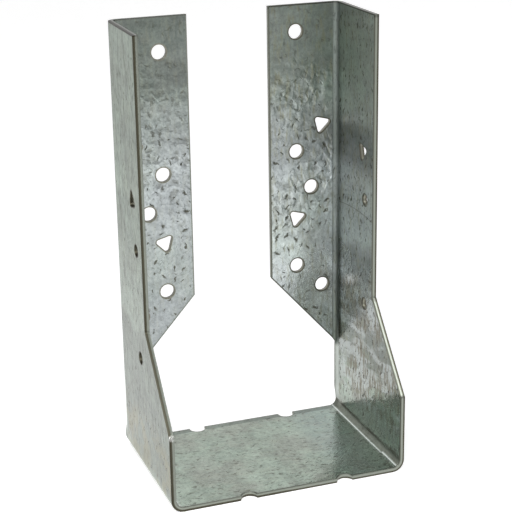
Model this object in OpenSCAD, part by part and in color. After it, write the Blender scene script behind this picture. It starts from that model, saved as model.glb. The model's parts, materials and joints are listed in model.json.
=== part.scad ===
// Concealed-flange joist hanger, folded from one galvanised sheet.
// X runs across the joist, +Y points at the header, +Z is up.
// The origin is the middle of the footprint, level with the underside of the seat.

/* [Joist pocket] */
// Clear width between the side plates, which is the thickness of the joist
joist_width = 90.5; // [64:0.5:140]
// Height of the side plates, from the underside of the seat to their top edge
height = 173.2; // [168:0.2:240]
// Depth of the seat, from its rear edge to its front edge
seat_depth = 63.5; // [56:0.5:90]
// Distance from the header face of the flanges to the rear edge of the seat
seat_setback = 0.6; // [0.2:0.1:1.4]

/* [Sheet] */
// Thickness of the sheet
sheet = 1.9; // [1.2:0.1:2.5]
// Inside radius of the two folds beside the seat
seat_fold_r = 2.9; // [2:0.1:5]
// Inside radius of the fold between each side plate and its flange
flange_fold_r = 2.1; // [1.5:0.1:4]

/* [Side plates] */
// Depth of the side plates above their slanted front edge
arm_depth = 36.7; // [34:0.1:50]
// Height at which the front edge starts to slant back
slant_foot = 30.7; // [20:0.1:40]
// Height at which the slant reaches the narrow part of the plate
slant_top = 62.25; // [50:0.05:66]

/* [Flanges] */
// Width of each flange, from the face that the joist touches to its free edge
flange_width = 28.9; // [26:0.1:30]
// Height of the root of the flange's slanted lower edge, at the fold
flange_root = 29.65; // [20:0.05:36]
// Height of the flange's lower free corner
flange_corner = 61.9; // [50:0.1:63]
// Height down to which the fold runs on below the flange, along the plate's rear edge
fold_foot = 9; // [8:0.5:14]

/* [Header holes] */
// Diameter of the round nail holes in the flanges
nail_d = 5.7; // [4:0.1:6.5]
// Distance of the outer row from the joist face, with three round holes
outer_row = 17.6; // [16:0.1:20]
// Height of the lowest hole of the outer row
outer_row_z = 65.5; // [64:0.1:68]
// Spacing of the holes along the outer row
row_pitch = 47.8; // [44:0.1:48]
// Distance from the joist face and height of the middle hole
middle_hole = [11.3, 98.1];
// Distance from the joist face and height of the inner hole, beside the fold
inner_hole = [6.7, 55.9];

/* [Joist holes] */
// Diameter of the round nail holes in the side plates
joist_nail_d = 4.4; // [3:0.1:6]
// Distance of the round holes from the header face
joist_row = 29.3; // [26:0.1:30]
// Height of the lower round hole
joist_row_z = 53.1; // [48:0.1:58]
// Spacing of the two round holes
joist_pitch = 42.9; // [38:0.1:46]

/* [Triangular holes] */
// Side of the triangle, measured to its sharp corners
triangle_side = 7.9; // [5:0.1:8.5]
// Radius of the triangle's corners
triangle_r = 1.0; // [0.4:0.1:1.4]
// Distance from the joist face and height of the upper triangle in a flange
upper_triangle = [6.7, 123.5];
// Distance from the joist face and height of the lower triangle in a flange
lower_triangle = [17.4, 85.5];
// Distance from the header face and height of the triangle in a side plate
joist_triangle = [26.6, 114.7];
// Turn of the triangles in the flanges, from the free edge upwards
flange_triangle_turn = 45; // [0:1:119]
// Turn of the right plate's triangle, from the header upwards, and of the left one downwards
joist_triangle_turn = 42; // [0:1:119]

/* [Seat notches] */
// Diameter of the pilot holes that the cut through the strip leaves as notches
pilot_d = 6.4; // [4:0.1:7]
// Spacing of the two pilot holes across the seat
pilot_spacing = 39; // [30:0.5:44]
// How far the cut line lies from the centres of the pilot holes
pilot_offset = 0.6; // [-1.5:0.1:1.5]

/* [Blank placing] */
// How far the punched holes sit up the right arm and down the left arm
punch_shift = 1.8; // [0:0.1:2]
// The same for the lower edges of the flanges
flange_shift = 1.2; // [0:0.1:2]
// The same for the slanted fronts and the top edges
trim_shift = 0.35; // [0:0.05:1]
// The same for the joist nail holes, so that nails from the two sides miss each other
joist_stagger = 4.4; // [0:0.1:5]
// How far the pilot notches sit towards the right arm
pilot_shift = 2.7; // [0:0.1:4]

/* [Hidden] */
$fn = 72;

joist_face = joist_width / 2;
outer_face = joist_face + sheet;
header_y = (seat_depth + seat_setback) / 2;
seat_rear = header_y - seat_setback;
seat_front = seat_rear - seat_depth;
arm_front = header_y - arm_depth;
seat_fold_outer = seat_fold_r + sheet;
flange_fold_outer = flange_fold_r + sheet;
fold_x = joist_face - flange_fold_r;
fold_start = header_y - flange_fold_outer;
// Below the flange the blank ends in line with the seat's rear edge, part of the way round the fold
strip_turn = (seat_rear - fold_start) / (flange_fold_r + sheet / 2) * 180 / PI;
flange_slope = (flange_corner - flange_root) / flange_width;
over = 1;

// Outline of a U, filled: its walls stand at +-half, and its lower corners have radius r
module u_outline(half, r, top) {
    translate([-half + r, 0]) square([2 * (half - r), top]);
    translate([-half, r]) square([2 * half, top - r]);
    for (side = [-1, 1]) translate([side * (half - r), r]) circle(r);
}

// Seat with its two folds and both side plates, at the full depth of the blank
module channel() {
    translate([0, seat_rear, 0]) rotate([90, 0, 0]) linear_extrude(height = seat_depth)
        difference() {
            u_outline(outer_face, seat_fold_outer, height + trim_shift);
            translate([0, sheet]) u_outline(joist_face, seat_fold_r, height + over);
        }
}

// The fold's section in the XY plane, from the plate round by a turn of up to 90 degrees
module fold_section(turn) {
    reach = 2 * flange_fold_outer;
    translate([fold_x, fold_start]) intersection() {
        difference() {
            circle(flange_fold_outer);
            circle(flange_fold_r);
        }
        polygon([[0, 0], [reach, 0], [reach, reach], reach * [cos(turn), sin(turn)]]);
    }
}

// Right flange with its fold, cut along its slanted lower edge
module flange(top) {
    free_edge = joist_face - flange_width;
    difference() {
        linear_extrude(height = top) {
            fold_section(90);
            translate([free_edge, header_y - sheet]) square([fold_x - free_edge, sheet]);
        }
        children();
    }
}

// The right plate's rear edge below the flange, which the same fold curls inwards
module curled_edge(shift) {
    top = flange_root + shift + flange_slope * flange_fold_r;
    translate([0, 0, fold_foot]) linear_extrude(height = top - fold_foot) fold_section(strip_turn);
}

// Everything below the slanted lower edge of the right flange, as an outline in XZ
module below_flange(shift) {
    root = flange_root + shift;
    translate([0, header_y + over, 0]) rotate([90, 0, 0])
        linear_extrude(height = flange_fold_outer + 2 * over)
            polygon([
                [joist_face - flange_width - over, -over],
                [outer_face + over, -over],
                [outer_face + over, root - flange_slope * (sheet + over)],
                [joist_face - flange_width - over, root + flange_slope * (flange_width + over)]
            ]);
}

// What the blank's outline takes off the right side plate: an outline in YZ, through the plate
module plate_cut(outline) {
    translate([joist_face - over, 0, 0]) rotate([90, 0, 90])
        linear_extrude(height = sheet + 2 * over) polygon(outline);
}

// The slanted front edge, and the straight edge above it
module front_cut(shift) {
    slope = (slant_top - slant_foot) / (seat_depth + seat_setback - arm_depth);
    plate_cut([
        [seat_front - over, slant_foot + shift - slope * over],
        [arm_front, slant_top + shift],
        [arm_front, height + 2 * over],
        [seat_front - over, height + 2 * over]
    ]);
}

// The plate's rear strip above the fold's foot, where the fold takes its place
module rear_cut() {
    plate_cut([
        [fold_start, fold_foot],
        [header_y + over, fold_foot],
        [header_y + over, height + 2 * over],
        [fold_start, height + 2 * over]
    ]);
}

// Equilateral triangle with rounded corners, one of them towards +X
module rounded_triangle(side, r) {
    reach = side / sqrt(3) - 2 * r;
    polygon([for (k = [0:2], edge = [-60, 60])
        reach * [cos(120 * k), sin(120 * k)] + r * [cos(120 * k + edge), sin(120 * k + edge)]]);
    for (k = [0:2]) translate(reach * [cos(120 * k), sin(120 * k)]) circle(r);
}

// Places a hole's outline in the right flange, by distance from the joist face and height
module in_flange(place) {
    translate([joist_face - place[0], header_y + over, place[1]]) rotate([90, 0, 0])
        linear_extrude(height = sheet + 2 * over) mirror([1, 0]) children();
}

// Places a hole's outline in the right side plate, by distance from the header face and height
module in_plate(place) {
    translate([joist_face - over, header_y - place[0], place[1]]) rotate([90, 0, 90])
        linear_extrude(height = sheet + 2 * over) children();
}

// Five round and two triangular holes for the nails into the header
module header_holes(shift) {
    for (k = [0:2]) in_flange([outer_row, outer_row_z + k * row_pitch + shift]) circle(d = nail_d);
    for (place = [middle_hole, inner_hole]) in_flange(place + [0, shift]) circle(d = nail_d);
    for (place = [upper_triangle, lower_triangle])
        in_flange(place + [0, shift]) rotate(flange_triangle_turn)
            rounded_triangle(triangle_side, triangle_r);
}

// Two round holes and one triangular hole for the nails into the joist
module joist_holes(shift, turn) {
    for (k = [0, 1]) in_plate([joist_row, joist_row_z + k * joist_pitch + shift]) circle(d = joist_nail_d);
    in_plate(joist_triangle + [0, shift]) rotate(turn) rounded_triangle(triangle_side, triangle_r);
}

// Half-round notches in both edges of the seat, where the strip was cut through its pilot holes
module pilot_notches() {
    for (side = [-1, 1], edge = [seat_rear, seat_front])
        translate([pilot_shift + side * pilot_spacing / 2, edge - pilot_offset, -over])
            cylinder(d = pilot_d, h = sheet + 2 * over);
}

// What is cut from one arm. side is 1 for the right arm and -1 for the left. The two triangles
// point the same way in the flat blank, so the folded plates hold them turned opposite ways
module arm_cuts(side) {
    front_cut(side * trim_shift);
    rear_cut();
    joist_holes(side * joist_stagger, side * joist_triangle_turn);
}

// Draws its children on one side: 1 for the right, as built, and -1 for the left
module on_side(side) {
    mirror([side < 0 ? 1 : 0, 0, 0]) children();
}

// The whole folded sheet
module hanger() {
    color("#9aa19c") {
        difference() {
            channel();
            for (side = [-1, 1]) on_side(side) arm_cuts(side);
            translate([-outer_face - over, seat_front - over, height - trim_shift])
                cube([outer_face, seat_depth + 2 * over, 3 * over]);
            pilot_notches();
        }
        for (side = [-1, 1]) on_side(side) {
            flange(height + side * trim_shift) {
                below_flange(side * flange_shift);
                header_holes(side * punch_shift);
            }
            curled_edge(side * flange_shift);
        }
    }
}

hanger();
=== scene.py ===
"""Looks of a concealed-flange joist hanger, folded from one galvanised steel sheet.

The sheet is built as its maker builds it. A flat blank is laid out with its notches and nail holes, its
sheared edges get their rounded and broken-out section, and one mapping folds it up: first the flanges about
the side plates, then the side plates about the seat. Lengths are in millimetres until the mesh is written.
"""

import json
import logging
import math
from dataclasses import dataclass, field
from enum import Enum

import bpy
import numpy as np
from mathutils import Matrix, Vector
from mathutils.geometry import delaunay_2d_cdt


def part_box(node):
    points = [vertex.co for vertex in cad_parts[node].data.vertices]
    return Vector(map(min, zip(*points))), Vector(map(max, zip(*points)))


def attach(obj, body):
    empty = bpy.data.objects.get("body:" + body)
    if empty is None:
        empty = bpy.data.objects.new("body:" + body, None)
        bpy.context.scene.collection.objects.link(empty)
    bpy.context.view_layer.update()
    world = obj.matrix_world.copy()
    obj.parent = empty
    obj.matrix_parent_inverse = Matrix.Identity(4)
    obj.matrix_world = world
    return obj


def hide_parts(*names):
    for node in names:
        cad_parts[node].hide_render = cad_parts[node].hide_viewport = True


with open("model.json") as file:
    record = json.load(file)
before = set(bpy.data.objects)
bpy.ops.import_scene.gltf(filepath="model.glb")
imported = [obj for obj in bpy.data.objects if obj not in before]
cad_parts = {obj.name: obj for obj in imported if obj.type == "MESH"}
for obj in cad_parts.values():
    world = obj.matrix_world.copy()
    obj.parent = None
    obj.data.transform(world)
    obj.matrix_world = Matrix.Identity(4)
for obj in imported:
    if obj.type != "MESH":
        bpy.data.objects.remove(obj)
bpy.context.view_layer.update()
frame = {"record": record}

MM = 0.001
BLANK_ATTRIBUTE = "blank_mm"
RIM_ATTRIBUTE = "rim_mm"
log = logging.getLogger("hanger")


class Arm(Enum):
    """The two arms of the hanger, by the sign of X on their side of the joist."""

    LEFT = -1
    RIGHT = 1


class Face(Enum):
    """The kinds of surface on the sheet, by their place in the mesh's list of materials."""

    ZINC = 0
    SHEARED = 1
    PUNCHED = 2


def mount_mm(name: str) -> np.ndarray:
    """Place of one of the record's mounts.

    Args:
        name: The mount's name.

    Returns:
        Its point in millimetres.
    """
    return np.array(next(m["pos_m"] for m in frame["record"]["mounts"] if m["name"] == name)) / MM


def linear(srgb: str, alpha: float = 1.0) -> tuple[float, float, float, float]:
    """Turns a colour written as sRGB hex into the linear values that shaders take.

    Args:
        srgb: Six hex digits after a #.
        alpha: Opacity.

    Returns:
        Linear red, green and blue, and alpha.
    """
    parts = (int(srgb[k : k + 2], 16) / 255 for k in (1, 3, 5))
    return (*(c / 12.92 if c <= 0.04045 else ((c + 0.055) / 1.055) ** 2.4 for c in parts), alpha)


# ---------------------------------------------------------------------------------------------- outlines


def line(start: tuple[float, float], end: tuple[float, float], step: float) -> np.ndarray:
    """Points along a straight cut, without its last point.

    Args:
        start: First point on the blank.
        end: Last point on the blank.
        step: Largest distance between neighbours.

    Returns:
        Points, one a row: start + (end - start) k / n.
    """
    count = max(1, math.ceil(math.dist(start, end) / step))
    return np.linspace(start, end, count, endpoint=False)


def arc(centre: tuple[float, float], radius: float, first: float, last: float, step: float) -> np.ndarray:
    """Points along a round cut, without its last point.

    Args:
        centre: Centre of the arc on the blank.
        radius: Its radius.
        first: Angle of the first point, in radians.
        last: Angle of the last point. The arc runs clockwise where it is the smaller.
        step: Largest distance between neighbours.

    Returns:
        Points, one a row: centre + radius (cos a, sin a), with a evenly spaced.
    """
    count = max(4, math.ceil(abs(last - first) * radius / step))
    angle = np.linspace(first, last, count, endpoint=False)
    return np.array(centre) + radius * np.stack([np.cos(angle), np.sin(angle)], axis=1)


def inset(loop: np.ndarray, distance: float) -> np.ndarray:
    """Moves a closed outline into the sheet, with mitred corners.

    The outline of the blank runs counter-clockwise and that of a hole clockwise, so the sheet is always on
    the left. Each point moves along the mean of its two edges' left normals, lengthened by one over the
    cosine of half the turn.

    Args:
        loop: Points of the outline, one a row.
        distance: How far each edge moves.

    Returns:
        The moved points.
    """
    edge = np.roll(loop, -1, axis=0) - loop
    normal = np.stack([-edge[:, 1], edge[:, 0]], axis=1) / np.linalg.norm(edge, axis=1, keepdims=True)
    mean = normal + np.roll(normal, 1, axis=0)
    return loop + distance * 2 * mean / np.sum(mean * mean, axis=1, keepdims=True)


def inside(points: np.ndarray, loops: list[np.ndarray]) -> np.ndarray:
    """Says which points lie on the sheet, by counting the outlines to their right.

    Args:
        points: Points, one a row.
        loops: The blank's outline and those of its holes.

    Returns:
        One truth value a point: whether the count is odd.
    """
    odd = np.zeros(len(points), bool)
    x, y = points[:, :1], points[:, 1:]
    for loop in loops:
        x0, y0 = loop[:, 0], loop[:, 1]
        x1, y1 = np.roll(x0, -1), np.roll(y0, -1)
        spans = (y0 > y) != (y1 > y)
        crossing = x0 + (y - y0) * (x1 - x0) / np.where(y1 == y0, 1.0, y1 - y0)
        odd ^= (np.sum(spans & (crossing > x), axis=1) % 2).astype(bool)
    return odd


def clearance(points: np.ndarray, loops: list[np.ndarray]) -> np.ndarray:
    """Distance of each point from the nearest outline point, worked out in slices to save memory."""
    rim = np.vstack(loops)
    slices = np.array_split(points, max(1, len(points) // 2000))
    return np.concatenate([np.sqrt(((s[:, None] - rim) ** 2).sum(-1).min(1)) for s in slices])


# ------------------------------------------------------------------------------------------------- sheet


@dataclass(frozen=True)
class Fold:
    """A right-angled fold: where it starts along the sheet, and its radii."""

    start: float
    inner_radius: float
    sheet: float

    @property
    def middle_radius(self) -> float:
        """Radius of the sheet's middle surface."""
        return self.inner_radius + self.sheet / 2

    @property
    def length(self) -> float:
        """Length of the middle surface round the fold."""
        return self.middle_radius * math.pi / 2

    def bend(self, along: np.ndarray, lift: np.ndarray, share: np.ndarray) -> tuple[np.ndarray, np.ndarray]:
        """Bends a section of the sheet towards its inner side.

        Past the start, the middle surface turns by share x distance / radius up to the end of the fold, and
        then runs straight on. A point at a height above it keeps that height along the turned normal.

        Args:
            along: Distance along the flat sheet.
            lift: Height above the middle surface, on the inner side.
            share: Curvature as a share of the whole fold's, from 0 for flat to 1.

        Returns:
            The bent section: distance along, and height above, the plane of the unbent part.
        """
        past = np.clip(along - self.start, 0, self.length)
        straight = along - self.start - past
        curvature = np.maximum(share, 1e-6) / self.middle_radius
        turn = curvature * past
        out = self.start + np.sin(turn) / curvature + straight * np.cos(turn) - lift * np.sin(turn)
        up = (1 - np.cos(turn)) / curvature + straight * np.sin(turn) + lift * np.cos(turn)
        return out, up


@dataclass(frozen=True)
class EdgeSection:
    """Section of a sheared edge, from the face that the punch enters to the face that it leaves.

    The punch draws the near face down into a small round, cuts a clean band and then tears the rest, which
    stands back a little and ends in a smaller round.
    """

    sheet: float
    round_depth: float = 0.16
    round_width: float = 0.20
    clean_share: float = 0.45
    torn_share: float = 0.35
    tear_setback: float = 0.10
    foot_radius: float = 0.09
    margin: float = 0.55

    def rings(self) -> np.ndarray:
        """Points of the section.

        Returns:
            Rows of setback from the outline and height above the middle surface. The quarter rounds are
            1 - sin and 1 - cos of their angle, and the first and last rows lie on the flat faces.
        """
        half = self.sheet / 2
        angle = np.radians([0, 30, 60, 90])
        near = np.stack([self.round_width * (1 - np.sin(angle)),
                         half - self.round_depth * (1 - np.cos(angle))], axis=1)
        clean = np.array([[0.0, half - self.clean_share * self.sheet]])
        tear = np.array([[self.tear_setback, -half + self.torn_share * self.sheet],
                         [self.tear_setback, -half + self.foot_radius]])
        foot = np.stack([self.tear_setback + self.foot_radius * (1 - np.cos(angle[2:])),
                         -half + self.foot_radius * (1 - np.sin(angle[2:]))], axis=1)
        flat = np.array([[self.margin, half]]), np.array([[self.margin, -half]])
        return np.vstack([flat[0], near, clean, tear, foot, flat[1]])


@dataclass(frozen=True)
class Sheet:
    """The blank and its two pairs of folds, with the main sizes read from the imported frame."""

    half_width: float
    height: float
    header_y: float
    front_y: float
    joist_face: float
    thickness: float
    seat_setback: float = 0.6
    seat_fold_radius: float = 2.9
    flange_fold_radius: float = 2.1
    arm_depth: float = 36.7
    slant_foot: float = 30.7
    slant_top: float = 62.25
    flange_width: float = 28.9
    flange_root: float = 29.65
    flange_corner: float = 61.9
    trim_shift: float = 0.35
    flange_shift: float = 1.2
    run_out: tuple[float, float] = (5.0, 15.0)

    @classmethod
    def from_frame(cls) -> "Sheet":
        """Reads the outer sizes from the CAD box and the sheet's thickness and faces from the mounts."""
        low, high = (np.array(corner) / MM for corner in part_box("hanger"))
        return cls(half_width=high[0], height=high[2], header_y=high[1], front_y=low[1],
                   joist_face=mount_mm("right_joist_face")[0], thickness=mount_mm("seat_bearing")[2])

    @property
    def rear_y(self) -> float:
        """Rear edge of the seat, which stands clear of the header face."""
        return self.header_y - self.seat_setback

    @property
    def seat_fold(self) -> Fold:
        """The fold between the seat and a side plate, by distance from the middle of the seat."""
        start = self.half_width - self.seat_fold_radius - self.thickness
        return Fold(start, self.seat_fold_radius, self.thickness)

    @property
    def flange_fold(self) -> Fold:
        """The fold between a side plate and its flange, by depth."""
        start = self.header_y - self.flange_fold_radius - self.thickness
        return Fold(start, self.flange_fold_radius, self.thickness)

    def along_arm(self, z: float) -> float:
        """Distance from the middle of the seat, along the sheet, of a height on a side plate."""
        return self.seat_fold.start + self.seat_fold.length + z - self.seat_fold_radius - self.thickness

    def across_flange(self, distance: float) -> float:
        """Distance along the sheet's depth of a place on a flange, by distance from the joist face."""
        return self.flange_fold.start + self.flange_fold.length + distance - self.flange_fold_radius

    def outline(self, notches: "PilotNotches", step: float) -> np.ndarray:
        """Outline of the flat blank, counter-clockwise, with its length along X and its depth along Y.

        Args:
            notches: The half-round notches in the seat's two edges.
            step: Largest distance between points.

        Returns:
            Points, one a row.
        """
        right, left = self.arm_corners(Arm.RIGHT), self.arm_corners(Arm.LEFT)
        mirrored = [(-u, v) for u, v in reversed(left)]
        runs = [notches.edge(True, mirrored[-1], right[0], step)]
        runs += [line(a, b, step) for a, b in zip(right[:-1], right[1:])]
        runs.append(notches.edge(False, right[-1], mirrored[0], step))
        runs += [line(a, b, step) for a, b in zip(mirrored[:-1], mirrored[1:])]
        return np.vstack(runs)

    def arm_corners(self, arm: Arm) -> list[tuple[float, float]]:
        """Corners of one arm of the blank, from its front edge round the top and down the flange.

        Args:
            arm: Which arm. The trimmed ends sit higher on the right arm and lower on the left.

        Returns:
            Corners as if the arm were the right one.
        """
        trim, flange = arm.value * self.trim_shift, arm.value * self.flange_shift
        top = self.along_arm(self.height - self.trim_shift + trim)
        arm_front = self.header_y - self.arm_depth
        free_edge = self.across_flange(self.flange_width)
        slope = (self.flange_corner - self.flange_root) / self.flange_width
        fold_end = self.flange_root + flange + slope * self.flange_fold_radius
        turn = (self.rear_y - self.flange_fold.start) / self.flange_fold.middle_radius
        reach = self.flange_fold_radius - self.flange_fold.middle_radius * math.cos(turn)
        return [
            (self.along_arm(self.slant_foot + trim), self.front_y),
            (self.along_arm(self.slant_top + trim), arm_front),
            (top, arm_front),
            (top, free_edge),
            (self.along_arm(self.flange_corner + flange), free_edge),
            (self.along_arm(fold_end), self.across_flange(self.flange_fold_radius)),
            (self.along_arm(self.flange_root + flange + slope * reach), self.rear_y),
        ]

    def fold_up(self, blank: np.ndarray) -> np.ndarray:
        """Folds points of the flat blank into the hanger.

        The flange fold bends the depth of the sheet, fully beside the flange and less and less below it, and
        the seat fold then bends its length. Both arms are folded as the right one and mirrored by the sign
        of their length.

        Args:
            blank: Rows of length, depth and height above the middle surface, on the joist's side.

        Returns:
            Rows of X, Y and Z.
        """
        length, depth, lift = blank.T
        reach = np.abs(length)
        low, high = (self.along_arm(z) for z in self.run_out)
        share = smooth((reach - low) / (high - low))
        y, rise = self.flange_fold.bend(depth, lift, share)
        out, up = self.seat_fold.bend(reach, rise, np.ones_like(reach))
        return np.stack([np.sign(length) * out, y, up + self.thickness / 2], axis=1)


def smooth(t: np.ndarray) -> np.ndarray:
    """Smooth step from 0 to 1 over t from 0 to 1."""
    t = np.clip(t, 0, 1)
    return t * t * (3 - 2 * t)


@dataclass(frozen=True)
class PilotNotches:
    """Half-round notches in both edges of the seat, left by the pilot holes of the strip."""

    radius: float = 3.2
    spacing: float = 39.0
    offset: float = 0.6
    shift: float = 2.7

    def edge(self, forward: bool, start: tuple[float, float], end: tuple[float, float],
             step: float) -> np.ndarray:
        """Points along one edge of the seat with its two notches.

        Args:
            forward: Whether it is the front edge, walked towards +X, or the rear edge, walked back.
            start: First point of the edge.
            end: Last point of the edge.
            step: Largest distance between points.

        Returns:
            Points, one a row, without the last.
        """
        way = 1 if forward else -1
        half = math.sqrt(self.radius**2 - self.offset**2)
        tilt = math.atan2(self.offset, half)
        runs, at = [], start
        for side in (-way, way):
            x = self.shift + side * self.spacing / 2
            centre = (x, start[1] - self.offset)
            runs.append(line(at, (x - way * half, start[1]), step))
            runs.append(arc(centre, self.radius, *self.sweep(forward, tilt), step / 2))
            at = (x + way * half, start[1])
        runs.append(line(at, end, step))
        return np.vstack(runs)

    def sweep(self, forward: bool, tilt: float) -> tuple[float, float]:
        """First and last angle of a notch, which turns clockwise through the sheet."""
        return (math.pi - tilt, tilt) if forward else (tilt, -math.pi - tilt)


@dataclass(frozen=True)
class NailHoles:
    """Round and triangular nail holes, laid out on the flat blank."""

    sheet: Sheet
    header_radius: float = 2.85
    header_round: tuple[tuple[float, float], ...] = (
        (17.6, 65.5), (17.6, 113.3), (17.6, 161.1), (11.3, 98.1), (6.7, 55.9))
    header_triangles: tuple[tuple[float, float], ...] = ((6.7, 123.5), (17.4, 85.5))
    header_turn: float = 45.0
    joist_radius: float = 2.2
    joist_round: tuple[tuple[float, float], ...] = ((29.3, 53.1), (29.3, 96.0))
    joist_triangle: tuple[float, float] = (26.6, 114.7)
    joist_turn: float = 42.0
    triangle_side: float = 7.9
    triangle_corner: float = 1.0
    punch_shift: float = 1.8
    joist_stagger: float = 4.4
    step: float = 0.45

    def circle(self, centre: tuple[float, float], radius: float) -> np.ndarray:
        """A round hole, clockwise."""
        return arc(centre, radius, 2 * math.pi, 0, self.step)

    def triangle(self, centre: tuple[float, float], turn: float) -> np.ndarray:
        """A triangular hole with round corners, clockwise.

        Args:
            centre: Its middle on the blank.
            turn: Angle of its first corner, in radians, from the blank's length towards its depth.

        Returns:
            Points: three arcs of the corner radius about the corners of a smaller triangle, joined by lines.
        """
        reach = self.triangle_side / math.sqrt(3) - 2 * self.triangle_corner
        runs = []
        for k in range(3):
            way, after = turn - k * 2 * math.pi / 3, turn - (k + 1) * 2 * math.pi / 3
            hub = (centre[0] + reach * math.cos(way), centre[1] + reach * math.sin(way))
            to = (centre[0] + reach * math.cos(after), centre[1] + reach * math.sin(after))
            leave = way - math.pi / 3
            edge = self.triangle_corner * np.array([math.cos(leave), math.sin(leave)])
            runs.append(arc(hub, self.triangle_corner, way + math.pi / 3, leave, self.step / 2))
            runs.append(line(tuple(hub + edge), tuple(to + edge), self.step))
        return np.vstack(runs)

    def on_arm(self, arm: Arm) -> list[np.ndarray]:
        """Outlines of one arm's ten holes.

        Args:
            arm: Which arm. The left one's are laid out as the right one's, then mirrored and turned round,
                so that the sheet stays on their left.

        Returns:
            One closed outline a hole.
        """
        sheet, side = self.sheet, arm.value
        loops = []
        for distance, z in self.header_round:
            centre = (sheet.along_arm(z + side * self.punch_shift), sheet.across_flange(distance))
            loops.append(self.circle(centre, self.header_radius))
        for distance, z in self.header_triangles:
            centre = (sheet.along_arm(z + side * self.punch_shift), sheet.across_flange(distance))
            loops.append(self.triangle(centre, math.radians(90 - self.header_turn)))
        for distance, z in self.joist_round:
            centre = (sheet.along_arm(z + side * self.joist_stagger), sheet.header_y - distance)
            loops.append(self.circle(centre, self.joist_radius))
        distance, z = self.joist_triangle
        centre = (sheet.along_arm(z + side * self.joist_stagger), sheet.header_y - distance)
        loops.append(self.triangle(centre, math.radians(90 - side * self.joist_turn)))
        if arm is Arm.LEFT:
            loops = [(loop * (-1, 1))[::-1] for loop in loops]
        return loops


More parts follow.
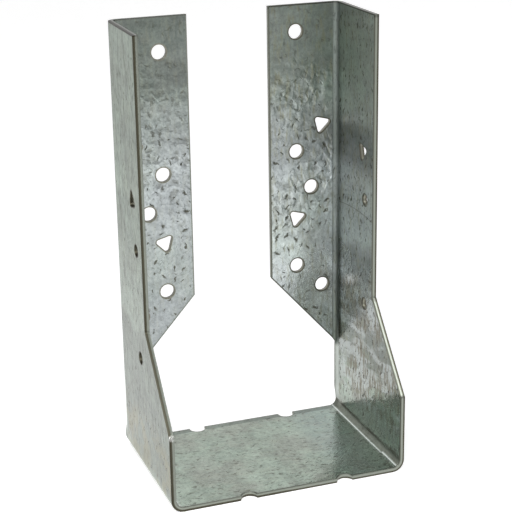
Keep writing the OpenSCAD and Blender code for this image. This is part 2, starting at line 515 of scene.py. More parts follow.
@dataclass
class Hanger:
    """The whole folded sheet as one closed mesh, with its three finishes."""

    sheet: Sheet
    notches: PilotNotches = field(default_factory=PilotNotches)
    outline_step: float = 0.75
    grid: float = 1.5
    fold_grid: float = 0.45
    wave: float = 0.06
    sharp_degrees: float = 40.0

    def grid_points(self, loops: list[np.ndarray]) -> np.ndarray:
        """Points inside the blank on a grid that is finer across the folds.

        Args:
            loops: The outlines that the grid has to keep clear of.

        Returns:
            Points, one a row.
        """
        seat, flange = self.sheet.seat_fold, self.sheet.flange_fold
        lows, highs = loops[0].min(0), loops[0].max(0)
        half = self.stations(0, highs[0], seat)
        lengths = np.concatenate([-half[:0:-1], half])
        depths = self.stations(lows[1], highs[1], flange)
        points = np.stack(np.meshgrid(lengths, depths, indexing="ij"), axis=-1).reshape(-1, 2)
        points = points[inside(points, loops)]
        return points[clearance(points, loops) > EdgeSection.margin]

    def stations(self, low: float, high: float, fold: Fold) -> np.ndarray:
        """Grid lines between two limits, closer together over a fold.

        Args:
            low: First line.
            high: Last line.
            fold: The fold that they cross.

        Returns:
            Their places in rising order.
        """
        ends = (low, fold.start, fold.start + fold.length, high)
        gaps = (self.grid, self.fold_grid, self.grid)
        runs = [np.linspace(a, b, max(1, math.ceil((b - a) / gap)), endpoint=False)
                for a, b, gap in zip(ends[:-1], ends[1:], gaps)]
        return np.concatenate([*runs, [high]])

    def triangles(self, loops: list[np.ndarray], points: np.ndarray) -> np.ndarray:
        """Delaunay triangles between the outlines, through the grid's points.

        Args:
            loops: Outlines, which stay as edges.
            points: The grid's points.

        Returns:
            Rows of three indices, counter-clockwise, into the outlines' points and then the grid's.
        """
        every = np.vstack([*loops, points])
        edges, base = [], 0
        for loop in loops:
            index = np.arange(len(loop))
            edges.append(np.stack([base + index, base + (index + 1) % len(loop)], axis=1))
            base += len(loop)
        result = delaunay_2d_cdt([Vector(p) for p in every], np.vstack(edges).tolist(), [], 0, 1e-6)
        origin = np.array([ids[0] for ids in result[3]])
        faces = origin[np.array(result[2])]
        middle = every[faces].mean(1)
        faces = faces[inside(middle, loops)]
        a, b, c = (every[faces[:, k]] for k in range(3))
        area = (b[:, 0] - a[:, 0]) * (c[:, 1] - a[:, 1]) - (b[:, 1] - a[:, 1]) * (c[:, 0] - a[:, 0])
        faces[area < 0] = faces[area < 0][:, ::-1]
        return faces

    def ripple(self, blank: np.ndarray) -> np.ndarray:
        """How far the sheet is pushed in from true, always towards the joist's side.

        Args:
            blank: Rows of length, depth and height on the blank.

        Returns:
            The wave's depth times a sum of six sines of 30 to 90 mm, from 0 to 1.
        """
        rng = np.random.default_rng(7)
        angle, period, phase = rng.uniform((0, 30, 0), (math.pi, 90, 2 * math.pi), (6, 3)).T
        way = np.stack([np.cos(angle), np.sin(angle)]) * (2 * math.pi / period)
        return self.wave * (0.5 + np.sin(blank[:, :2] @ way + phase).sum(1) / 12)

    def build(self) -> bpy.types.Object:
        """Builds the mesh: edge strips along every outline, and one skin on each face.

        Returns:
            The hanger's object, at the origin.
        """
        holes = NailHoles(self.sheet)
        outlines = [self.sheet.outline(self.notches, self.outline_step)]
        for arm in Arm:
            outlines += holes.on_arm(arm)
        rings = EdgeSection(self.sheet.thickness).rings()
        first = [inset(loop, rings[0, 0]) for loop in outlines]
        points = self.grid_points(first)
        skin = self.triangles(first, points)

        blank, setback, quads, rim = [], [], [], []
        base = outer_quads = 0
        for loop in outlines:
            size = len(loop)
            blank += [np.column_stack([inset(loop, s), np.full(size, h)]) for s, h in rings]
            setback.append(np.repeat(rings[:, 0], size))
            here = np.arange(size)
            after = (here + 1) % size
            for k in range(len(rings) - 1):
                near, far = base + k * size, base + (k + 1) * size
                quads.append(np.stack([near + here, far + here, far + after, near + after], axis=1))
            rim.append(np.stack([base + here, base + (len(rings) - 1) * size + here], axis=1))
            base += len(rings) * size
            outer_quads = outer_quads or (len(rings) - 1) * size
        half = self.sheet.thickness / 2
        grid_index = base + np.arange(len(points))
        blank += [np.column_stack([points, np.full(len(points), h)]) for h in (half, -half)]
        setback.append(np.full(2 * len(points), rings[0, 0]))
        rim.append(np.stack([grid_index, grid_index + len(points)], axis=1))
        rim = np.vstack(rim)
        blank, quads = np.vstack(blank), np.vstack(quads)
        faces = [*rim[skin, 0].tolist(), *rim[skin[:, ::-1], 1].tolist(), *quads.tolist()]
        lifted = blank + np.stack([0 * blank[:, 0], 0 * blank[:, 0], self.ripple(blank)], axis=1)
        kinds = np.repeat([Face.ZINC.value, Face.SHEARED.value, Face.PUNCHED.value],
                          [2 * len(skin), outer_quads, len(quads) - outer_quads])
        return self.write(self.sheet.fold_up(lifted), blank, np.concatenate(setback), faces, kinds)

    def write(self, places: np.ndarray, blank: np.ndarray, setback: np.ndarray, faces: list[list[int]],
              kinds: np.ndarray) -> bpy.types.Object:
        """Writes the mesh and its place on the blank.

        Args:
            places: Rows of X, Y and Z in millimetres.
            blank: Rows of length, depth and height on the blank, kept as an attribute for the finishes.
            setback: Distance from the nearest cut, up to the edge strip's margin, kept in the same way.
            faces: Corners of each face.
            kinds: Each face's kind of surface, as Face's value.

        Returns:
            The new object.
        """
        mesh = bpy.data.meshes.new("hanger_sheet")
        mesh.from_pydata(places * MM, [], faces)
        attribute = mesh.attributes.new(BLANK_ATTRIBUTE, "FLOAT_VECTOR", "POINT")
        attribute.data.foreach_set("vector", blank.astype(np.float32).ravel())
        attribute = mesh.attributes.new(RIM_ATTRIBUTE, "FLOAT", "POINT")
        attribute.data.foreach_set("value", setback.astype(np.float32))
        mesh.polygons.foreach_set("material_index", kinds.astype(np.int32))
        mesh.polygons.foreach_set("use_smooth", np.ones(len(faces), bool))
        mesh.set_sharp_from_angle(angle=math.radians(self.sharp_degrees))
        mesh.update()
        mesh.validate()
        piece = bpy.data.objects.new("hanger_sheet", mesh)
        bpy.context.scene.collection.objects.link(piece)
        return piece

    def dress(self, piece: bpy.types.Object) -> None:
        """Gives the skins zinc, and the sheared and punched edges bare steel, in Face's order."""
        finishes = {
            Face.ZINC: GalvanisedZinc(self.sheet),
            Face.SHEARED: ShearedSteel(self.sheet),
            Face.PUNCHED: ShearedSteel(self.sheet, "punched_steel", clean="#8a8a7e", torn="#6f6d60"),
        }
        for face in Face:
            piece.data.materials.append(finishes[face].material())


# ---------------------------------------------------------------------------------------------- finishes


def add(tree: bpy.types.NodeTree, kind: str, inputs: dict | None = None,
        **settings: object) -> bpy.types.Node:
    """Adds a node with its settings, values and links.

    Args:
        tree: The node tree.
        kind: The node's type name.
        inputs: Numbers, colours, Values or output sockets, by the input's name or number.
        **settings: Properties of the node.

    Returns:
        The node.
    """
    node = tree.nodes.new(kind)
    for name, value in settings.items():
        setattr(node, name, value)
    for key, value in (inputs or {}).items():
        value = getattr(value, "socket", value)
        if isinstance(value, bpy.types.NodeSocket):
            tree.links.new(value, node.inputs[key])
        else:
            node.inputs[key].default_value = value
    return node


def new_material(name: str) -> tuple[bpy.types.Material, bpy.types.NodeTree]:
    """An empty node material.

    Args:
        name: Its name.

    Returns:
        The material and its tree.
    """
    material = bpy.data.materials.new(name)
    material.use_nodes = True
    material.node_tree.nodes.clear()
    return material, material.node_tree


class Value:
    """A number, place or colour that a material works out at each point, so that formulas read as such.

    A comparison gives 1 where it holds and 0 elsewhere.
    """

    def __init__(self, socket: bpy.types.NodeSocket) -> None:
        """Wraps a node's output."""
        self.socket = socket

    def work(self, operation: str, *values: object) -> "Value":
        """One step of arithmetic, on each component where this value is a place or a colour."""
        kind = "ShaderNodeMath" if self.socket.type == "VALUE" else "ShaderNodeVectorMath"
        return Value(add(self.socket.id_data, kind, dict(enumerate(values)), operation=operation).outputs[0])

    def __add__(self, other: object) -> "Value":
        """Sum."""
        return self.work("ADD", self, other)

    def __sub__(self, other: object) -> "Value":
        """Difference."""
        return self.work("SUBTRACT", self, other)

    def __rsub__(self, other: object) -> "Value":
        """Difference from a number on the left."""
        return self.work("SUBTRACT", other, self)

    def __mul__(self, other: object) -> "Value":
        """Product."""
        return self.work("MULTIPLY", self, other)

    def __truediv__(self, other: object) -> "Value":
        """Quotient."""
        return self.work("DIVIDE", self, other)

    def __abs__(self) -> "Value":
        """Size without its sign."""
        return self.work("ABSOLUTE", self)

    def __gt__(self, other: object) -> "Value":
        """Mask of where this value is the larger."""
        return self.work("GREATER_THAN", self, other)

    def __lt__(self, other: object) -> "Value":
        """Mask of where this value is the smaller."""
        return self.work("LESS_THAN", self, other)

    def larger(self, other: object) -> "Value":
        """The larger of two values, which joins two masks."""
        return self.work("MAXIMUM", self, other)

    def distance(self) -> "Value":
        """Distance of this place from zero."""
        return Value(self.work("LENGTH", self).socket.node.outputs["Value"])

    def rise(self, low: float, high: float, start: float = 0.0, end: object = 1.0) -> "Value":
        """Goes smoothly from start to end as this value goes from low to high."""
        inputs = {"Value": self, "From Min": low, "From Max": high, "To Min": start, "To Max": end}
        return Value(add(self.socket.id_data, "ShaderNodeMapRange", inputs,
                         interpolation_type="SMOOTHSTEP").outputs[0])

    def within(self, low: float, high: float, blur: float) -> "Value":
        """A mask that is 1 between two limits, with soft ends."""
        return self.rise(low - blur, low + blur) * self.rise(high - blur, high + blur, 1.0, 0.0)


class Textures:
    """Builds the finishes' patterns from places on the blank, in millimetres."""

    def __init__(self, tree: bpy.types.NodeTree) -> None:
        """Reads the blank's attribute, and sets the two skins so far apart that they share no pattern.

        Args:
            tree: The material's node tree.
        """
        self.tree = tree
        self.place = Value(add(tree, "ShaderNodeAttribute", attribute_name=BLANK_ATTRIBUTE).outputs["Vector"])
        self.skin = self.place * (1, 1, 40)
        self.rim = Value(add(tree, "ShaderNodeAttribute", attribute_name=RIM_ATTRIBUTE).outputs["Fac"])
        split = add(tree, "ShaderNodeSeparateXYZ", {0: self.place})
        self.length, self.depth, self.lift = (Value(part) for part in split.outputs)
        self.reach = abs(self.length)

    def paint(self, ground: object, mask: Value, over: str) -> Value:
        """Lays a colour over another.

        Args:
            ground: The colour below, as a Value or written as hex.
            mask: Where, and how strongly, the other covers it.
            over: The colour laid on, written as hex.

        Returns:
            The new colour.
        """
        below = linear(ground) if isinstance(ground, str) else ground
        inputs = {0: mask, 6: below, 7: linear(over)}
        return Value(add(self.tree, "ShaderNodeMix", inputs, data_type="RGBA").outputs[2])

    def noise(self, size: float, stretch: tuple[float, float] = (1, 1), detail: float = 3.0,
              turn: float = 0.0) -> Value:
        """Cloudy noise.

        Args:
            size: Size of its clouds.
            stretch: How much longer they are along the blank's length and depth.
            detail: Number of finer octaves.
            turn: Turn of the stretched clouds on the blank, in radians.

        Returns:
            The value, about 0.2 to 0.8.
        """
        turned = Value(add(self.tree, "ShaderNodeVectorRotate", {"Vector": self.skin, "Angle": turn},
                           rotation_type="Z_AXIS").outputs[0])
        inputs = {"Vector": turned * (1 / stretch[0], 1 / stretch[1], 1), "Scale": 1 / size,
                  "Detail": detail, "Roughness": 0.6}
        return Value(add(self.tree, "ShaderNodeTexNoise", inputs).outputs[0])

    def bent(self, scale: float, warp: float) -> Value:
        """Places on a skin, shifted by noise so that a pattern on them isn't regular.

        Args:
            scale: How fine the noise is, in clouds a millimetre.
            warp: Length by which its full strength shifts a place.

        Returns:
            The shifted places.
        """
        inputs = {"Vector": self.skin, "Scale": scale, "Detail": 2.0}
        wobble = Value(add(self.tree, "ShaderNodeTexNoise", inputs).outputs["Color"])
        return wobble * (warp, warp, 0) + self.skin

    def marks(self, cell: float, length: float, width: float, share: float, warp: float,
              spread: object) -> Value:
        """Short marks, one to a cell, each turned, sized and weighted by its cell's own random colour.

        Args:
            cell: Spacing of the cells.
            length: Half length of a mark.
            width: Half width of a mark.
            share: Share of the cells that hold one.
            warp: How far noise bends the marks.
            spread: Share of a half turn over which they lie, about the blank's length.

        Returns:
            A mask, up to 1 on a mark.
        """
        scaled = self.bent(0.9 / length, warp) * ((1 / cell,) * 3)
        cells = add(self.tree, "ShaderNodeTexVoronoi", {"Vector": scaled, "Scale": 1.0, "Randomness": 1.0})
        chance = add(self.tree, "ShaderNodeSeparateColor", {0: cells.outputs["Color"]}).outputs
        for_turn, for_size, for_weight = (Value(part) for part in chance)
        turned = Value(add(self.tree, "ShaderNodeVectorRotate",
                           {"Vector": scaled - cells.outputs["Position"],
                            "Angle": (for_turn - 0.5) * math.pi * spread},
                           rotation_type="Z_AXIS").outputs[0])
        squeezed = turned * (cell / length, cell / width, 0)
        body = (squeezed.distance() / (for_size * 0.8 + 0.45)).rise(0.35, 1.3, 1.0, 0.0)
        return body * for_weight.rise(1 - share, 1.25 - share)

    def ring_line(self, centre: tuple[float, float], radius: float, width: float) -> Value:
        """A thin round line: 1 where the distance from the centre, along the sheet, is the radius.

        Args:
            centre: Its centre on the blank.
            radius: Its radius.
            width: Its width.

        Returns:
            Its mask.
        """
        flat = (self.place - (*centre, 0)) * (1, 1, 0)
        return flat.distance().within(radius - width / 2, radius + width / 2, width / 2)


class ZincPatterns(Textures):
    """Patterns on the zinc, with masks of the hanger's parts."""

    def __init__(self, tree: bpy.types.NodeTree, sheet: Sheet) -> None:
        """Works out the masks, and the noises that colour, roughness and relief share.

        Args:
            tree: The material's node tree.
            sheet: The blank and its folds.
        """
        super().__init__(tree)
        z, fold = sheet.along_arm, sheet.flange_fold
        self.arm = self.reach.rise(z(2), z(12))
        self.right = self.arm * (self.length > 0.0)
        self.upper_right = self.right * self.reach.rise(z(25), z(60))
        self.past_fold_start = self.depth > fold.start
        self.flange = self.depth > fold.start + fold.length
        self.flange_fold = self.past_fold_start - self.flange
        self.strip = self.past_fold_start * self.reach.rise(z(29), z(32), 1.0, 0.0) * self.arm
        self.outer = self.lift < 0.0
        self.joist_side = self.lift > 0.0
        self.cloud, self.fine = self.noise(14), self.noise(1.1)
        self.wipes = self.noise(7, (1, 4), turn=-0.15)
        self.streaks = self.noise(1.2, (5, 1))


@dataclass(frozen=True)
class PaintedLightZone:
    """A zone painted paler or darker on the zinc as painted light and shade: its arm, its face, its heights
    and how much.
    """

    arm: Arm
    on_flange: bool
    low: float
    high: float
    blur: float
    gain: float


@dataclass(frozen=True)
class GalvanisedZinc:
    """Hot-dip galvanised steel sheet with marks of handling and of the folding tool.

    The zinc gives a grey, half-mirror face, a little green, with soft clouds, and with zones painted paler or
    darker as painted light and shade. Short dark marks lie on it at every angle, with shallow dents on the
    flanges whose hollows hold painted shade. Each inside fold beside the seat has a dull band of die rub
    marks and painted shade, with a painted highlight line next to it and a painted shade line at the crease,
    and the seat beside the right fold holds painted shade. The flange folds are dull, stretched zinc with
    painted shade, and the curled strip below each flange holds a painted highlight.
    """

    sheet: Sheet
    base: str = "#95a396"
    outside: str = "#8ca08e"
    cool: str = "#a8aeaf"
    wiped: str = "#b3b9b9"
    rust: str = "#625c48"
    cloud: str = "#8f968b"
    mark: str = "#4a483b"
    stain: str = "#7c7a5e"
    # colours of the inside fold bands: die rub marks with painted shade, and a painted highlight line
    rubbed_and_shaded: str = "#686b61"
    painted_fold_highlight: str = "#ccd2cf"
    # colour of the flange folds: dull stretched zinc, darkened further as painted shade
    drawn_and_shaded: str = "#6f7672"
    # bluish colour of the painted shade on the seat beside the right fold
    shade: str = "#8fa1a0"
    # near-white colour of the painted highlight on the curled strip below each flange
    strip: str = "#e2e6e2"
    roughness: float = 0.17
    dent: float = 3.4
    tool_joint: float = -18.5
    # Zones of painted light and shade, made paler or darker where the zinc catches more or less light.
    painted_light_zones: tuple[PaintedLightZone, ...] = (
        PaintedLightZone(Arm.RIGHT, True, 38, 106, 6, 0.26),
        PaintedLightZone(Arm.RIGHT, True, 112, 190, 8, -0.14),
        PaintedLightZone(Arm.RIGHT, True, 145, 190, 8, -0.26),
        PaintedLightZone(Arm.RIGHT, False, -30, 2, 3, 0.07),
        PaintedLightZone(Arm.RIGHT, False, 27, 62, 4, -0.45),
        PaintedLightZone(Arm.RIGHT, False, 65, 80, 4, -0.55),
        PaintedLightZone(Arm.RIGHT, False, 82, 104, 5, -0.14),
        PaintedLightZone(Arm.RIGHT, False, 110, 130, 5, -0.54),
        PaintedLightZone(Arm.RIGHT, False, 162, 190, 6, -0.08),
        PaintedLightZone(Arm.LEFT, True, -20, 80, 8, -0.22),
        PaintedLightZone(Arm.LEFT, True, 80, 112, 8, -0.1),
        PaintedLightZone(Arm.LEFT, True, 118, 190, 8, -0.26),
        PaintedLightZone(Arm.LEFT, True, 140, 190, 8, -0.26),
        PaintedLightZone(Arm.LEFT, False, -46, 2, 3, 0.1),
        PaintedLightZone(Arm.LEFT, False, 5, 60, 4, -0.28),
        PaintedLightZone(Arm.LEFT, False, 5, 110, 4, -0.27),
        PaintedLightZone(Arm.LEFT, False, 116, 190, 8, -0.28),
    )
    curved_line_centre: tuple[float, float] = (23.6, 11.2)
    curved_line_radius: float = 114.2

    def fold_bands(self, t: ZincPatterns) -> tuple[Value, ...]:
        """The dull band of die rub marks and painted shade, the painted highlight line and the painted shade
        line at the crease, of the inside folds beside the seat.

        They step at one depth, where two blades of the folding tool meet.

        Args:
            t: The patterns.

        Returns:
            The masks of the band, the painted highlight line and the painted shade line.
        """
        fold = self.sheet.seat_fold
        step = t.depth.rise(self.tool_joint - 0.2, self.tool_joint + 0.2, 0.12, 0.0)
        turned = (t.reach - fold.start) / fold.length - step
        joint = t.depth.within(self.tool_joint - 0.25, self.tool_joint + 0.25, 0.1)
        # The band: die rub marks, and painted shade where the fold faces the seat.
        band = turned.within(0.36, 0.98, 0.05).larger(joint * turned.within(0.1, 1.0, 0.05))
        # Painted highlight: a bright line on the seat's side of the band.
        edge = turned.within(0.2, 0.3, 0.03)
        # Painted shade: a dark, wavering line at the crease where the fold meets the plate.
        wavering = (t.noise(3) - 0.5) * 0.3 + turned
        dark = wavering.within(0.92, 1.12, 0.04) * t.noise(6).rise(0.35, 0.6, 0.5, 1.0)
        return tuple(mask * t.joist_side for mask in (band, edge, dark))

    def painted_light(self, t: ZincPatterns) -> Value:
        """How bright the zinc is painted, by its zones of painted light and shade.

        Args:
            t: The patterns.

        Returns:
            A factor for the colour, about 0.45 to 1.3.
        """
        reach = t.reach + t.noise(20) * 14 - 7
        total = 1.0
        for painted_light in self.painted_light_zones:
            low, high = (self.sheet.along_arm(z) for z in (painted_light.low, painted_light.high))
            side = t.length * float(painted_light.arm.value) > 0.0
            face = t.flange if painted_light.on_flange else 1 - t.flange
            total = side * face * reach.within(low, high, painted_light.blur) * painted_light.gain + total
        return total

    def curved_line(self, t: ZincPatterns) -> Value:
        """The long, thin, dark curved line on the joist's side of the right plate.

        Args:
            t: The patterns.

        Returns:
            Its mask.
        """
        sheet = self.sheet
        line = t.ring_line(self.curved_line_centre, self.curved_line_radius, 0.35)
        across = t.depth.within(sheet.header_y - sheet.arm_depth, sheet.flange_fold.start, 1)
        return line * across * t.length.within(sheet.along_arm(60), sheet.along_arm(120), 1) * t.joist_side

    def clean_colour(self, t: ZincPatterns) -> Value:
        """Colour of the unmarked zinc: its clouds, the cooler right plate, fine shading and the zones of
        painted light and shade.

        Args:
            t: The patterns.

        Returns:
            The colour.
        """
        z = self.sheet.along_arm
        colour = t.paint(self.base, t.cloud.rise(0.35, 0.65), self.cloud)
        colour = t.paint(colour, t.outer * (t.length < 0.0) * 0.4, self.outside)
        cool = (t.upper_right * 0.9).larger(t.flange.larger(0.12))
        cool = cool * t.reach.rise(z(115), z(150), 1.0, 0.45) * t.noise(30).rise(0.38, 0.6, 0.7, 1.0)
        colour = t.paint(colour, cool, self.cool)
        shade = t.fine.rise(0.3, 0.7, 0.88, 1.12) * t.wipes.rise(0.35, 0.65, 0.93, 1.08)
        shade = shade * t.noise(5, detail=4).rise(0.35, 0.65, 0.93, 1.07)
        shade = shade * t.streaks.rise(0.3, 0.7, 0.92, 1.08)
        scores = t.noise(1.5, (7, 1)).rise(0.36, 0.6, 0.72, 1.1)
        shade = shade * (t.outer * (scores - 1) + 1)
        return colour * (shade * self.painted_light(t))

    def stains_and_painted_shade(self, t: ZincPatterns, colour: Value) -> Value:
        """Lays painted shade on the seat beside the right fold, the left plate's stained foot, grime, and the
        right plate's wiped and brown places.

        Args:
            t: The patterns.
            colour: The zinc's colour so far.

        Returns:
            The stained colour.
        """
        z = self.sheet.along_arm
        # Painted shade: the seat's right part, in the right plate's shade, is made darker and bluer.
        painted_fold_shade = t.length.rise(16, 30, 0.0, t.length.rise(38, 46, 0.4, 0.0))
        colour = t.paint(colour, painted_fold_shade, self.shade)
        foot = t.length.within(-z(24), -self.sheet.seat_fold.start, 6) * t.outer
        colour = t.paint(colour, foot * t.noise(7).rise(0.42, 0.6) * 0.7, self.stain)
        colour = t.paint(colour, t.streaks.rise(0.48, 0.68) * (t.right * 0.35 + 0.15), self.stain)
        lower = t.right * t.reach.within(z(14), z(64), 6) * (1 - t.past_fold_start)
        colour = t.paint(colour, t.wipes.rise(0.46, 0.58) * lower * 0.6, self.wiped)
        rust = t.noise(1.6, (4, 1)).rise(0.44, 0.58) * lower * t.noise(16).rise(0.36, 0.56)
        return t.paint(colour, rust * 0.85, self.rust)

    def dark_marks(self, t: ZincPatterns) -> Value:
        """The short dark marks: commas, dashes and specks, and wider scuffs on the outer faces.

        Args:
            t: The patterns.

        Returns:
            Their mask, which is fainter high on the flanges and on the outer faces.
        """
        z = self.sheet.along_arm
        spread = t.flange * 0.45 + 0.45
        commas = t.marks(4.2, 1.4, 0.46, 0.7, 2.4, spread)
        dashes = t.marks(2.3, 0.95, 0.24, 0.7, 1.2, spread)
        specks = t.marks(1.6, 0.36, 0.22, 0.5, 0.6, spread)
        scuffs = t.marks(4.5, 2.6, 0.8, 0.6, 1.6, 0.3) * t.outer
        finer = dashes.larger(specks) * (0.7 - t.flange * 0.4) * (1 - t.outer * 0.45)
        marks = commas.larger(finer.larger(scuffs * 0.5))
        return marks * t.reach.rise(z(112), z(145), 1.0, 0.95 - t.flange * 0.5) * (1 - t.outer * 0.35)

    def folded_parts(self, t: ZincPatterns, colour: Value) -> Value:
        """Lays on the flange folds, dull stretched zinc with painted shade, the painted highlight on the
        strip below them and the dull rim of every cut.

        Args:
            t: The patterns.
            colour: The zinc's colour so far.

        Returns:
            The colour with them.
        """
        z = self.sheet.along_arm
        # Flange folds: dull stretched zinc, darkened further as painted shade in the crease.
        fold = t.flange_fold * t.reach.rise(z(100), z(120), 0.55, 0.8)
        colour = t.paint(colour, fold, self.drawn_and_shaded)
        # Painted highlight: the curled strip below each flange is painted near white.
        colour = t.paint(colour, t.strip, self.strip)
        return t.paint(colour, t.rim.rise(0.24, 0.5, 0.55, 0.0), self.mark)

    def dents(self, t: ZincPatterns) -> tuple[Value, Value]:
        """The shallow dents, which are deepest on the flanges at mid height.

        Args:
            t: The patterns.

        Returns:
            The dents' height and the mask of where they lie.
        """
        z = self.sheet.along_arm
        scaled = t.bent(0.25, 6) * ((1 / self.dent,) * 3)
        cells = add(t.tree, "ShaderNodeTexVoronoi", {"Vector": scaled, "Scale": 1.0, "Smoothness": 0.35},
                    feature="SMOOTH_F1")
        dented = t.reach.within(z(85), z(150), 16) * t.flange + 0.15
        return Value(cells.outputs["Distance"]), dented * t.noise(22).rise(0.35, 0.6, 0.35, 1.0)

    def material(self) -> bpy.types.Material:
        """Builds the finish.

        Returns:
            It as a material.
        """
        material, tree = new_material("galvanised_zinc")
        t = ZincPatterns(tree, self.sheet)
        marks = self.dark_marks(t)
        colour = self.stains_and_painted_shade(t, self.clean_colour(t))
        colour = t.paint(colour, marks * t.arm.rise(0, 1, 0.48, 0.85), self.mark)
        # A long, thin, dark curved line on the right plate.
        colour = t.paint(colour, self.curved_line(t) * 0.6, self.mark)
        colour = self.folded_parts(t, colour)
        band, edge, dark = self.fold_bands(t)
        # Lays the fold bands: die rub marks with painted shade, a painted highlight line and a painted shade
        # line.
        for mask, over in ((band * 0.75, self.rubbed_and_shaded), (edge, self.painted_fold_highlight), (dark, self.mark)):
            colour = t.paint(colour, mask, over)
        cells, dented = self.dents(t)
        # Painted shade: the dents' hollows are darkened.
        colour = t.paint(colour, cells.rise(0.42, 0.2) * dented * 0.3, self.mark)

        high = t.reach.rise(self.sheet.along_arm(50), self.sheet.along_arm(110))
        rough = t.cloud * 0.12 + marks * 0.2 + high * 0.14 + t.upper_right * 0.06
        rough = rough + t.flange_fold * 0.22 + band * 0.2 + t.strip * 0.25 + (self.roughness - 0.06)

        height = cells * dented * 4.2 - marks * dented * 1.6 - marks * 0.25
        height = height + t.fine * 0.35 + t.noise(5) * (t.arm * 0.6 + 0.2)
        bump = add(tree, "ShaderNodeBump", {"Height": height, "Strength": 0.6, "Distance": 0.15 * MM})
        shader = add(tree, "ShaderNodeBsdfPrincipled",
                     {"Base Color": colour, "Metallic": 1.0, "Roughness": rough, "Normal": bump.outputs[0]})
        add(tree, "ShaderNodeOutputMaterial", {0: shader.outputs[0]})
        return material


@dataclass(frozen=True)
class ShearedSteel:
    """Bare steel on a cut edge: a clean band, and a dull torn one with a brown corner.

    The torn band is wider on the left arm, whose edges are darkened as painted shade. The brown corner is
    painted shade in the rounded corners, faint on the slanted fronts; the right slanted front is brightened
    as a painted highlight, a near-white painted glint sits at the foot of the left one, and the top ends are
    darkened as painted shade.
    """

    sheet: Sheet
    name: str = "sheared_steel"
    clean: str = "#8c9188"
    torn: str = "#59584c"
    corner: str = "#38362a"
    # near-white colour of the painted glint at the foot of the left slanted front
    burr_glint: str = "#f2f3f0"
    corner_share: float = 0.6

    def material(self) -> bpy.types.Material:
        """Builds the finish.

        Returns:
            It as a material.
        """
        material, tree = new_material(self.name)
        t = Textures(tree)
        sheet, z = self.sheet, self.sheet.along_arm
        wander = t.noise(2.5) * 0.4 + (t.lift - 0.2) - t.length.rise(-5, 5, 0.25, 0.0)
        torn = wander.rise(-0.35, -0.1, 1.0, 0.0)
        slant = t.reach.within(z(sheet.slant_foot + 1), z(sheet.slant_top - 1), 0.5) * (t.depth < 0.0)
        foot = wander.rise(-0.65, -0.45, 1.0, 0.0) * slant.rise(0, 1, 1.0, 0.35)
        right = t.length.rise(44, 50)
        head = t.lift.rise(0.42, 0.68) * (t.length.rise(-50, -44) * (right * 0.6 + 0.5))
        colour = t.paint(self.clean, torn, self.torn)
        # Painted shade: the brown line in the rounded corners of the edge.
        colour = t.paint(colour, (foot + head) * self.corner_share, self.corner)
        # Painted glint: a near-white spot at the foot of the left slanted front.
        glint_place = (-z(sheet.slant_foot - sheet.trim_shift), sheet.front_y, 0)
        burr_glint = (t.place - glint_place).distance().rise(0.9, 1.6, 1.0, 0.0) * t.noise(0.9).rise(0.5, 0.56)
        colour = t.paint(colour, burr_glint, self.burr_glint)
        # Painted highlight: the right slanted front is made half again as bright. Painted shade: the left
        # arm's edges are made darker.
        colour = colour * (slant * right * 0.5 + t.length.rise(-50, -44, 0.74, 1.0))
        # Painted shade: the upward-facing top ends of the arms are made darker.
        end = z(sheet.height)
        colour = colour * t.reach.rise(end - 1.5, end - 0.9, 1.0, 0.6)
        shader = add(tree, "ShaderNodeBsdfPrincipled",
                     {"Base Color": colour, "Metallic": 1.0, "Roughness": torn * 0.06 + 0.34})
        add(tree, "ShaderNodeOutputMaterial", {0: shader.outputs[0]})
        return material


# ------------------------------------------------------------------------------------------------ studio


@dataclass(frozen=True)
class SoftLamp:
    """A soft box: where it hangs, where it points, its size and its power."""

    name: str
    place: tuple[float, float, float]
    target: tuple[float, float, float]
    size: float
    power: float

    def build(self) -> None:
        """Hangs the lamp."""
        data = bpy.data.lights.new(self.name, "AREA")
        data.size = self.size
        data.energy = self.power
        lamp = bpy.data.objects.new(self.name, data)
        bpy.context.scene.collection.objects.link(lamp)
        lamp.location = self.place
        way = Vector(self.target) - Vector(self.place)
        lamp.rotation_euler = way.to_track_quat("-Z", "Y").to_euler()


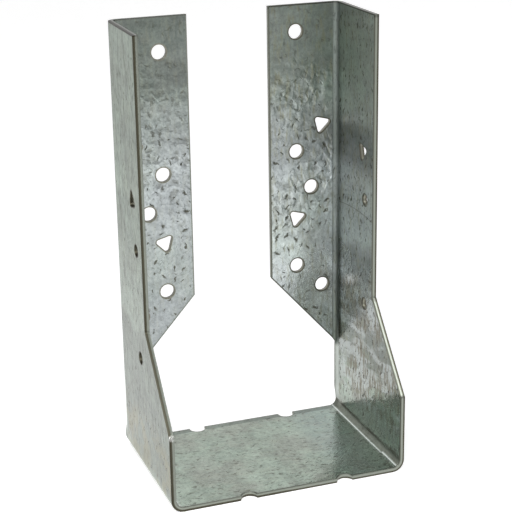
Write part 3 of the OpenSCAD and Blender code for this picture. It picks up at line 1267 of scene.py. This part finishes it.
@dataclass(frozen=True)
class Studio:
    """A pale paper sweep, plain soft surroundings, two soft lamps and the camera."""

    half_width: float = 4.0
    front: float = -4.0
    rear: float = 1.3
    rise: float = 2.4
    bend: float = 0.5
    fill: float = 0.66
    glow: float = 0.5
    camera_place: tuple[float, float, float] = (-0.182005, -0.50050, 0.264555)
    yaw: float = 0.34697
    pitch: float = 0.3264
    roll: float = -0.01656
    lens: float = 104.09
    lamps: tuple[SoftLamp, ...] = (
        SoftLamp("key", (-0.28, -0.42, 0.38), (-0.28, -0.42, 0), 0.36, 3.4),
        SoftLamp("side", (0.46, -0.46, 0.72), (0.03, 0, 0.05), 0.2, 1.0),
    )

    def camera(self) -> None:
        """Sets the camera, turned by yaw to the right, pitch down and a slight roll."""
        ahead = np.array([math.sin(self.yaw), math.cos(self.yaw), 0.0])
        forward = math.cos(self.pitch) * ahead - np.array([0.0, 0.0, math.sin(self.pitch)])
        level = np.array([math.cos(self.yaw), -math.sin(self.yaw), 0.0])
        upright = np.cross(level, forward)
        right = math.cos(self.roll) * level + math.sin(self.roll) * upright
        up = -math.sin(self.roll) * level + math.cos(self.roll) * upright
        data = bpy.data.cameras.new("camera")
        data.lens = self.lens
        data.sensor_width = 36.0
        data.clip_start = 0.01
        camera = bpy.data.objects.new("camera", data)
        bpy.context.scene.collection.objects.link(camera)
        turn = Matrix((right, up, -forward)).transposed().to_4x4()
        camera.matrix_world = Matrix.Translation(self.camera_place) @ turn
        bpy.context.scene.camera = camera

    def sweep(self) -> None:
        """Lays the sweep: a flat floor that bends up behind the object, as a profile swept along X."""
        angle = np.linspace(0, math.pi / 2, 24)
        curve = np.stack([self.rear + self.bend * np.sin(angle), self.bend * (1 - np.cos(angle))], axis=1)
        profile = np.vstack([[self.front, 0], curve, [self.rear + self.bend, self.rise]])
        count = len(profile)
        places = np.vstack([np.insert(profile, 0, side * self.half_width, axis=1) for side in (-1, 1)])
        k = np.arange(count - 1)
        faces = np.stack([k, k + count, k + 1 + count, k + 1], axis=1)
        mesh = bpy.data.meshes.new("sweep")
        mesh.from_pydata(places, [], faces.tolist())
        mesh.polygons.foreach_set("use_smooth", np.ones(count - 1, bool))
        sweep = bpy.data.objects.new("sweep", mesh)
        bpy.context.scene.collection.objects.link(sweep)
        mesh.materials.append(self.paper())

    def paper(self) -> bpy.types.Material:
        """Matt pale paper, which glows up to white for the camera and for the metal that mirrors it.

        Returns:
            The material.
        """
        material, tree = new_material("pale_paper")
        path = add(tree, "ShaderNodeLightPath").outputs
        seen = Value(path["Is Camera Ray"]).larger(path["Is Transmission Ray"]).larger(path["Is Glossy Ray"])
        diffuse = add(tree, "ShaderNodeBsdfDiffuse", {"Color": (0.8, 0.8, 0.8, 1)}).outputs[0]
        light = add(tree, "ShaderNodeEmission",
                    {"Color": (1, 1, 1, 1), "Strength": seen * self.glow}).outputs[0]
        both = add(tree, "ShaderNodeAddShader", {0: diffuse, 1: light}).outputs[0]
        add(tree, "ShaderNodeOutputMaterial", {0: both})
        return material

    def world(self) -> None:
        """Plain soft surroundings, the same for the camera and for the metal."""
        world = bpy.data.worlds.new("studio")
        bpy.context.scene.world = world
        world.use_nodes = True
        tree = world.node_tree
        tree.nodes.clear()
        sky = add(tree, "ShaderNodeBackground", {"Color": (1, 1, 1, 1), "Strength": self.fill}).outputs[0]
        add(tree, "ShaderNodeOutputWorld", {0: sky})

    def build(self) -> None:
        """Sets up the whole studio."""
        self.camera()
        self.sweep()
        self.world()
        for lamp in self.lamps:
            lamp.build()
        bpy.context.scene.view_settings.view_transform = "Standard"


def main() -> None:
    """Builds the studio and the hanger."""
    logging.basicConfig(level=logging.INFO, format="%(name)s: %(message)s")
    Studio().build()
    hanger = Hanger(Sheet.from_frame())
    piece = hanger.build()
    hanger.dress(piece)
    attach(piece, "root")
    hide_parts("hanger")
    log.info("%s: %d faces", piece.name, len(piece.data.polygons))


if __name__ == "__main__":
    main()
